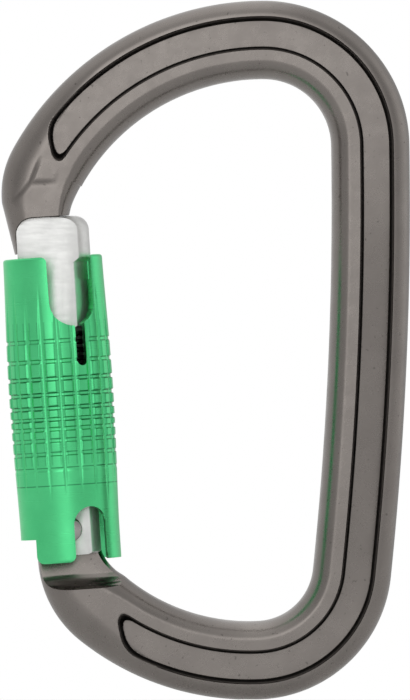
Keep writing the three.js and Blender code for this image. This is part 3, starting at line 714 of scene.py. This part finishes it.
def gate_body():
    """The gate drawn upright about the rivet: turned bar, two flats, fork, and slot for the nose key."""
    foot_radius = 0.5
    fillet = 2.2
    profile = [(0, -FORK_TAIL), (GATE_RADIUS - foot_radius, -FORK_TAIL)]
    profile += arc((GATE_RADIUS - foot_radius, -FORK_TAIL + foot_radius), foot_radius, -90, 0, 6)
    profile += [(GATE_RADIUS, WAIST_START - 0.3), (WAIST_RADIUS, WAIST_START + 0.1),
                (WAIST_RADIUS, GATE_TOP - WAIST_DROP - 0.1), (GATE_RADIUS, GATE_TOP - WAIST_DROP + 0.3),
                (GATE_RADIUS, GATE_TOP - HEAD_HEIGHT - 0.2), (HEAD_RADIUS, GATE_TOP - HEAD_HEIGHT + 0.5)]
    profile += arc((HEAD_RADIUS - fillet, GATE_TOP - fillet), fillet, 0, 90, 14)
    profile += [(0, GATE_TOP)]
    bar = lathe("gate_fine", profile, 128)
    combine(bar, head_cheek(), "UNION")
    left, right = -HEAD_RADIUS + 0.6, HEAD_RADIUS
    outline = [*arc((left + 2.8, -FORK_TAIL + 2.8), 2.8, 180, 270, 14),
               *arc((right - 2.8, -FORK_TAIL + 2.8), 2.8, 270, 360, 14),
               (right, GATE_TOP + 1), *arc((left + 2.6, GATE_TOP - 2.6), 2.6, 90, 180, 14)]
    combine(bar, prism("flats", outline, -FLAT_HALF, FLAT_HALF), "INTERSECT")
    floor = math.hypot(KEY_LEFT, KEY_BOTTOM) - RUN
    roof = math.hypot(KEY_LEFT, KEY_TOP) + RUN
    lug, stem, head = LUG_HALF + RUN, KEY_STEM / 2 + RUN, KEY_HEAD / 2 + RUN
    cut(bar,
        blocky("key_head_slot", (-12, -head, floor), (KEY_RIGHT + RUN, head, roof)),
        blocky("key_stem_slot", (-12, -stem, floor + RUN), (KEY_RIGHT + RUN, stem, GATE_TOP + 2)),
        blocky("fork", (-12, -lug, -9), (12, lug, FORK_DEPTH)),
        rod("bore", BORE_RADIUS, (0, 0, FORK_DEPTH - 1), (0, 0, CAM_SEAT + PLUNGER_LENGTH + GATE_SPRING_LENGTH + 0.6)),
        rod("rivet_bore", RIVET_HOLE, (0, -12, 0), (0, 12, 0)),
        pin_rod("pin_bore", 0.9, 1.5, 9))
    bevel(bar, 0.32, 35, 3)
    bar.data.transform(GATE_PLACE)
    return smooth(bar, 30)


def head_cheek():
    """Square left side of the head, with softly rounded upright edges."""
    rounding, half = 0.8, FLAT_HALF + 0.5
    centre = (HEAD_LEFT + rounding, half - rounding)
    outline = [(0, -half), *arc((centre[0], -centre[1]), rounding, 270, 180, 7),
               *arc(centre, rounding, 180, 90, 7), (0, half)]
    return prism("cheek", outline, GATE_TOP - HEAD_HEIGHT + 0.6, GATE_TOP, "Z")


def pin_rod(name, radius, start, end):
    """A radial rod at the guide pin's place."""
    angle = math.radians(GUIDE_PIN_ANGLE)
    height = GATE_TOP - GUIDE_PIN_DROP
    out = (math.sin(angle), -math.cos(angle))
    return rod(name, radius, (start * out[0], start * out[1], height), (end * out[0], end * out[1], height), 32)


def gate_rivet():
    """Domed heads on the outside of the fork."""
    cheek, head, radius = FLAT_HALF + 0.15, 0.7, 1.93
    profile = [(0, -cheek - head)]
    for a in map(math.radians, (12, 25, 38, 52, 66, 80, 90)):
        profile.append((radius * math.sin(a) ** 0.9, -cheek - 0.12 - (head - 0.12) * math.cos(a) ** 0.8))
    profile += [(radius, -cheek), (1.6, -cheek)]
    profile += [(r, -z) for r, z in profile[::-1]]
    rivet_object = lathe("gate_rivet_fine", profile, 64)
    rivet_object.data.transform(GATE_PLACE @ Matrix.Rotation(math.radians(90), 4, "X"))
    return smooth(rivet_object, 40)


def helix(name, radius, wire, low, high, turns, sides=14, steps=36):
    """A coil spring with closed ends."""
    count = int(turns * steps)
    loops = []
    for i in range(count + 1):
        share = i / count
        angle = 2 * math.pi * turns * share
        height = low + wire / 2 + (high - low - wire) * share
        centre = np.array([radius * math.cos(angle), radius * math.sin(angle), height])
        outwards = np.array([math.cos(angle), math.sin(angle), 0])
        loops.append([centre + wire / 2 * (math.cos(t) * outwards + math.sin(t) * np.array([0, 0, 1]))
                      for t in np.linspace(0, 2 * math.pi, sides, endpoint=False)])
    coil = swept(name, loops)
    coil.data.transform(GATE_PLACE)
    return smooth(coil, 50)


# ---------- locking sleeve ----------

def barrel(height):
    """The sleeve's radius before flutes and rings."""
    along = np.clip(height / RIM, 0, 1)
    return SLEEVE_RADIUS + (SLEEVE_BELLY - SLEEVE_RADIUS) * np.sin(math.pi * along) ** 1.5


def sleeve_surface():
    """Outer skin of the sleeve on a grid: a swelling barrel with flutes and turned rings, and a mask of painted shade
    on it.
    """
    fine = np.arange(5.5, 34.8, 0.115)
    rows = np.concatenate([
        -SLEEVE_TAIL + TAIL_ROUNDING * (1 - np.cos(np.linspace(0, math.pi / 2, 5))), np.linspace(-4.6, 5.3, 26), fine,
        np.linspace(35.0, RIM - 0.6, 14), RIM - RIM_ROUNDING * (1 - np.sin(np.linspace(0, math.pi / 2, 7)))])
    columns = 480
    angles = np.arange(columns) * 2 * math.pi / columns
    height, angle = np.meshgrid(rows, angles, indexing="ij")
    smooth_barrel = barrel(height)
    edge_low = np.clip(1 - (height + SLEEVE_TAIL) / TAIL_ROUNDING, 0, 1)
    edge_high = np.clip(1 - (RIM - height) / RIM_ROUNDING, 0, 1)
    skin = (smooth_barrel - TAIL_ROUNDING * (1 - np.sqrt(1 - edge_low ** 2))
            - RIM_ROUNDING * (1 - np.sqrt(1 - edge_high ** 2)))
    pitch = 2 * math.pi / FLUTES
    beside = np.abs((angle + pitch / 2) % pitch - pitch / 2) * 8.0   # mm round the sleeve from a flute's middle
    flute = FLUTE_FLOOR + 0.36 * (beside / 0.6) ** 1.8
    rings = np.full_like(height, 9.0)
    for n in np.arange(0.5, 6.0, 1.0):
        offset = 1.42 * n + 0.164 * n * n       # the rings stand further apart towards the ends
        for ring_height in (RING_MIDDLE + offset, RING_MIDDLE - offset):
            away = np.abs(height - ring_height)
            rings = np.minimum(rings, RING_FLOOR + np.clip((away - 0.24) / 0.13, 0, 9) * 0.3)
    cut_skin = smooth_min(smooth_min(skin, flute, 0.035), rings, 0.03)
    # painted shade on the walls of the rings, and a faint painted shade line along each flute where it meets the barrel
    steep = np.clip((np.abs(np.gradient(rings, axis=0)) > 0.1) * (rings < smooth_barrel + 0.02)
                    * (flute > rings - 0.04), 0, 1).astype(float)
    crest = np.clip((np.abs(beside - 0.55) < 0.1) * (smooth_barrel > 7.9), 0, 1) * 0.25
    return rows, angles, cut_skin, np.maximum(steep * 0.8, crest)


def locking_sleeve():
    """The fluted barrel, stepped inside, with its cut-outs, slot, windows and shortened skirts."""
    rows, angles, skin, painted_crevice_shade = sleeve_surface()
    lip_top = SEAT_FOOT - RUN
    band_foot = GATE_TOP - WAIST_DROP + RUN
    pin = GATE_TOP - GUIDE_PIN_DROP
    bore, band, lip = SLEEVE_BORE, 6.1, 5.85
    inside = [(bore + 0.3, RIM), (bore, RIM - 0.3),
              (bore, pin + 2.35), (band, pin + 2.3), (band, band_foot), (bore, band_foot - 0.05),
              (bore, lip_top + 0.05), (lip, lip_top), (lip, lip_top - 1.5), (bore, lip_top - 2.55),
              (bore, -SLEEVE_TAIL + 0.25), (bore + 0.2, -SLEEVE_TAIL)]
    loops = np.zeros((len(angles), len(rows) + len(inside), 3))
    around = np.column_stack([np.sin(angles), -np.cos(angles)])
    for j, height in enumerate(rows):
        loops[:, j, :2] = around * skin[j][:, None]
        loops[:, j, 2] = height
    for j, (radius, height) in enumerate(inside):
        loops[:, len(rows) + j, :2] = around * radius
        loops[:, len(rows) + j, 2] = height
    count, cols = loops.shape[:2]
    faces = []
    for i in range(count):
        n = (i + 1) % count
        for j in range(cols):
            k = (j + 1) % cols
            faces.append((i * cols + j, i * cols + k, n * cols + k, n * cols + j))
    sleeve = mesh_object("locking_sleeve_fine", loops.reshape(-1, 3), faces)
    # painted shade of the rings and flute edges, on the outer skin only
    marks = np.zeros((count, cols), np.float32)
    marks[:, :len(rows)] = painted_crevice_shade.T
    mark_points(sleeve, marks)
    below = -SLEEVE_TAIL - 3
    cutout_end = RIM - CUTOUT_DEPTH
    skirt_arc = arc((-4.05, -SLEEVE_TAIL + 1.2), 1.2, 180, 270, 10)
    cut(sleeve,
        slotted("cutout", CUTOUT_WIDTH, cutout_end, RIM, CUTOUT_ANGLE, -12, 12, 0.8, 0.8),
        slotted("slot", SLOT_WIDTH, cutout_end - SLOT_DEPTH, cutout_end + 2.2, SLOT_ANGLE, 4.9, 12, 0, 0),
        slotted("window", WINDOW_WIDTH, WINDOW_TOP, -SLEEVE_TAIL, WINDOW_ANGLE, -12, 12, 1.1, 0.8),
        prism("short_skirt", [(-12, -SHORT_SKIRT_TAIL), (-5.25, -SHORT_SKIRT_TAIL), *skirt_arc,
                              (-4.05, below), (-12, below)], -12, 12),
        prism("side_tab", [(12, -SIDE_TAB_TAIL), (12, below), (4.7, below), (4.7, -SIDE_TAB_TAIL)], -12, 12))
    bevel(sleeve, 0.2, 60, 2)
    sleeve.data.transform(GATE_PLACE)
    return smooth(sleeve, 42)


def slotted(name, width, end, opening, angle, start, reach, left, right):
    """A round-ended slot cutter at an angle from the front, its mouth flared by corner roundings."""
    half, up = width / 2, 1 if opening > end else -1
    centre = end + up * half
    points = []
    quarter = [math.radians(a) for a in range(0, 91, 15)]
    if right:
        points += [(half + right, opening + up * 3)]
        points += [(half + right - right * math.cos(a), opening - up * right * (1 - math.sin(a)))
                   for a in quarter[::-1]]
    else:
        points += [(half, opening + up * (3 if left else 0))]
    points += [(half * math.cos(a), centre - up * half * math.sin(a)) for a in map(math.radians, range(0, 181, 10))]
    if left:
        points += [(-half - left + left * math.cos(a), opening - up * left * (1 - math.sin(a))) for a in quarter]
        points += [(-half - left, opening + up * 3)]
    else:
        points += [(-half, opening + up * (3 if right else 0))]
    tool = prism(name, points, -reach, -start)
    tool.data.transform(Matrix.Rotation(math.radians(angle), 4, "Z"))
    return tool


def spring_seat():
    """A thin ring with two flats, between the sleeve spring and the sleeve's lip."""
    outer = 6.6
    seat = lathe("spring_seat_fine", [(0, SEAT_FOOT), (outer - 0.15, SEAT_FOOT), (outer, SEAT_FOOT + 0.15),
                                      (outer, SEAT_TOP - 0.15), (outer - 0.15, SEAT_TOP), (0, SEAT_TOP)], 96)
    hole = rod("seat_hole", WAIST_RADIUS + RUN, (0, 0, 0), (0, 0, 20), 96)
    combine(hole, blocky("seat_flats", (-9, -FLAT_HALF - RUN, -1), (9, FLAT_HALF + RUN, 21)), "INTERSECT")
    cut(seat, hole)
    seat.data.transform(GATE_PLACE)
    return smooth(seat, 40)


def plunger():
    """The push pin in the gate's bore, with a round nose on the lug."""
    radius = BORE_RADIUS - RUN
    nose = [(radius * math.sin(a), CAM_SEAT + radius * (1 - math.cos(a))) for a in map(math.radians, range(10, 91, 10))]
    top = CAM_SEAT + PLUNGER_LENGTH
    pin = lathe("gate_plunger_fine", [(0, CAM_SEAT), *nose, (radius, top - 0.1), (radius - 0.1, top), (0, top)], 48)
    pin.data.transform(GATE_PLACE)
    return smooth(pin, 40)


# ---------- pieces ----------

def keep_inside(obj):
    """Trims the few hundredths of a millimetre by which a fine skin stands out of the CAD part's box."""
    coords = np.empty(len(obj.data.vertices) * 3)
    obj.data.vertices.foreach_get("co", coords)
    obj.data.vertices.foreach_set("co", np.clip(coords.reshape(-1, 3), *(np.array(c) for c in cad_box)).ravel())


def place(obj, material, ride_on, slot, *nodes):
    """Gives a piece its material, the body it rides on and the CAD nodes it stands for. The slot argument is not used.
    """
    keep_inside(obj)
    wear(obj, material)
    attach(obj, ride_on)
    if nodes:
        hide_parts(*nodes)
    return obj


silver, green, grey = gate_finish(), sleeve_finish(), frame_finish()
bright_steel = steel_finish("bright_steel", (0.52, 0.50, 0.48), 0.22)
dark_steel = steel_finish("dark_spring_steel", (0.035, 0.035, 0.036), 0.3)


place(frame_body(), grey, "frame", "frame_anodised", "frame_body")
place(gate_rivet(), bright_steel, "frame", "steel", "gate_rivet")
place(gate_body(), silver, "gate", "gate_aluminium", "gate")
place(plunger(), bright_steel, "plunger", "steel", "gate_plunger")
pin = pin_rod("guide_pin_fine", 0.8, 1.5, 6.38)
pin.data.transform(GATE_PLACE)
place(smooth(bevel(pin, 0.12, 40, 2), 40), bright_steel, "gate", "steel", "guide_pin")
place(spring_seat(), acetal_finish(), "seat", "acetal", "spring_seat")
place(locking_sleeve(), green, "sleeve", "sleeve_anodised", "locking_sleeve")

waist_end = GATE_TOP - WAIST_DROP
sleeve_coil = place(helix("sleeve_spring_fine", (WAIST_RADIUS + SLEEVE_BORE) / 2, SPRING_WIRE, SEAT_TOP + RUN,
                          waist_end - RUN, SPRING_TURNS), dark_steel, "gate", "spring_steel", "sleeve_spring")
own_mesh(sleeve_coil)

foot = CAM_SEAT + PLUNGER_LENGTH + RUN
head = foot + GATE_SPRING_LENGTH
gate_coil = place(helix("gate_spring_fine", BORE_RADIUS - RUN - GATE_SPRING_WIRE / 2, GATE_SPRING_WIRE, foot, head,
                        GATE_SPRING_TURNS, 10, 24), dark_steel, "gate", "spring_steel", "gate_spring")
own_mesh(gate_coil)

# ---------- light, floor and camera ----------

def area_light(name, place, target, size, power, colour=(1, 1, 1), size_y=None):
    data = bpy.data.lights.new(name, "AREA")
    data.energy, data.color, data.size = power, colour, size
    if size_y:
        data.shape, data.size_y = "RECTANGLE", size_y
    obj = bpy.data.objects.new(name, data)
    obj.location = place
    obj.rotation_euler = (Vector(target) - Vector(place)).to_track_quat("-Z", "Y").to_euler()
    bpy.context.scene.collection.objects.link(obj)
    return obj


def soft_light():
    """A light tent: bright ahead of and behind the object, dim at its sides, and plain white to the camera."""
    world = bpy.data.worlds.new("studio")
    world.use_nodes = True
    tree = world.node_tree
    nodes, links = tree.nodes, tree.links
    background = nodes["Background"]
    background.inputs["Color"].default_value = (1, 1, 1, 1)
    split = nodes.new("ShaderNodeSeparateXYZ")
    links.new(nodes.new("ShaderNodeTexCoord").outputs["Generated"], split.inputs[0])

    def ramp_of(axis_name, stops):
        ramp_node = nodes.new("ShaderNodeValToRGB")
        ramp_node.color_ramp.interpolation = "EASE"
        while len(ramp_node.color_ramp.elements) < len(stops):
            ramp_node.color_ramp.elements.new(0.5)
        for element, (position, level) in zip(ramp_node.color_ramp.elements, stops):
            element.position, element.color = position, (level, level, level, 1)
        share = nodes.new("ShaderNodeMapRange")
        share.inputs["From Min"].default_value = -1
        links.new(split.outputs[axis_name], share.inputs["Value"])
        links.new(share.outputs["Result"], ramp_node.inputs["Fac"])
        return ramp_node.outputs["Color"]

    depth = ramp_of("Y", [(0.0, 1.0), (0.03, 0.98), (0.10, 0.75), (0.20, 0.6),
                          (0.35, 0.6), (0.5, 0.75), (0.75, 0.85), (1.0, 0.9)])
    side = ramp_of("X", [(0.0, 0.75), (0.25, 0.75), (0.42, 0.9), (0.5, 1.0),
                         (0.56, 0.78), (0.64, 0.5), (0.78, 0.6), (1.0, 1.1)])
    product = nodes.new("ShaderNodeMath")
    product.operation = "MULTIPLY"
    links.new(depth, product.inputs[0])
    links.new(side, product.inputs[1])
    up = nodes.new("ShaderNodeMapRange")
    up.inputs["From Min"].default_value = 0.45
    up.inputs["To Max"].default_value = 0.3
    links.new(split.outputs["Z"], up.inputs["Value"])
    total = nodes.new("ShaderNodeMath")
    links.new(product.outputs[0], total.inputs[0])
    links.new(up.outputs["Result"], total.inputs[1])
    seen = nodes.new("ShaderNodeMix")
    links.new(nodes.new("ShaderNodeLightPath").outputs["Is Camera Ray"], seen.inputs[0])
    links.new(total.outputs[0], seen.inputs[2])
    seen.inputs[3].default_value = 1.0
    links.new(seen.outputs[0], background.inputs["Strength"])
    bpy.context.scene.world = world


def studio():
    low, high = cad_box
    middle = (Vector(low) + Vector(high)) / 2
    soft_light()
    area_light("front_box", middle + Vector((-0.10, -0.55, 0.18)), middle, 0.30, 0.2, size_y=0.42)
    floor_mesh = bpy.data.meshes.new("floor")
    reach, behind, height = 2.5, 0.35, low[2] - 0.012
    floor_mesh.from_pydata([(-reach, -reach, height), (reach, -reach, height), (reach, behind, height),
                            (-reach, behind, height)], [], [(0, 1, 2, 3)])
    floor = bpy.data.objects.new("floor", floor_mesh)
    bpy.context.scene.collection.objects.link(floor)
    n = Nodes("pale_floor")
    n.link(n.steps(n.noise(8, 3), [(0.3, (0.80, 0.80, 0.80)), (0.7, (0.84, 0.84, 0.84))]),
           n.shader.inputs["Base Color"])
    n.shader.inputs["Roughness"].default_value = 0.7
    floor_mesh.materials.append(n.material)


def camera():
    """A long lens straight on to the front face."""
    low, high = cad_box
    view_height = (high[2] - low[2]) * 1.0028
    distance, sensor = 1.6, 24.0
    data = bpy.data.cameras.new("camera")
    data.sensor_fit, data.sensor_height = "VERTICAL", sensor
    data.lens = sensor * distance / view_height
    obj = bpy.data.objects.new("camera", data)
    centre = (Vector(low) + Vector(high)) / 2
    obj.location = (centre.x - 0.0001, -distance, centre.z)
    obj.rotation_euler = (math.radians(90), 0, 0)
    bpy.context.scene.collection.objects.link(obj)
    bpy.context.scene.camera = obj


studio()
camera()
bpy.context.scene.view_settings.view_transform = "Standard"
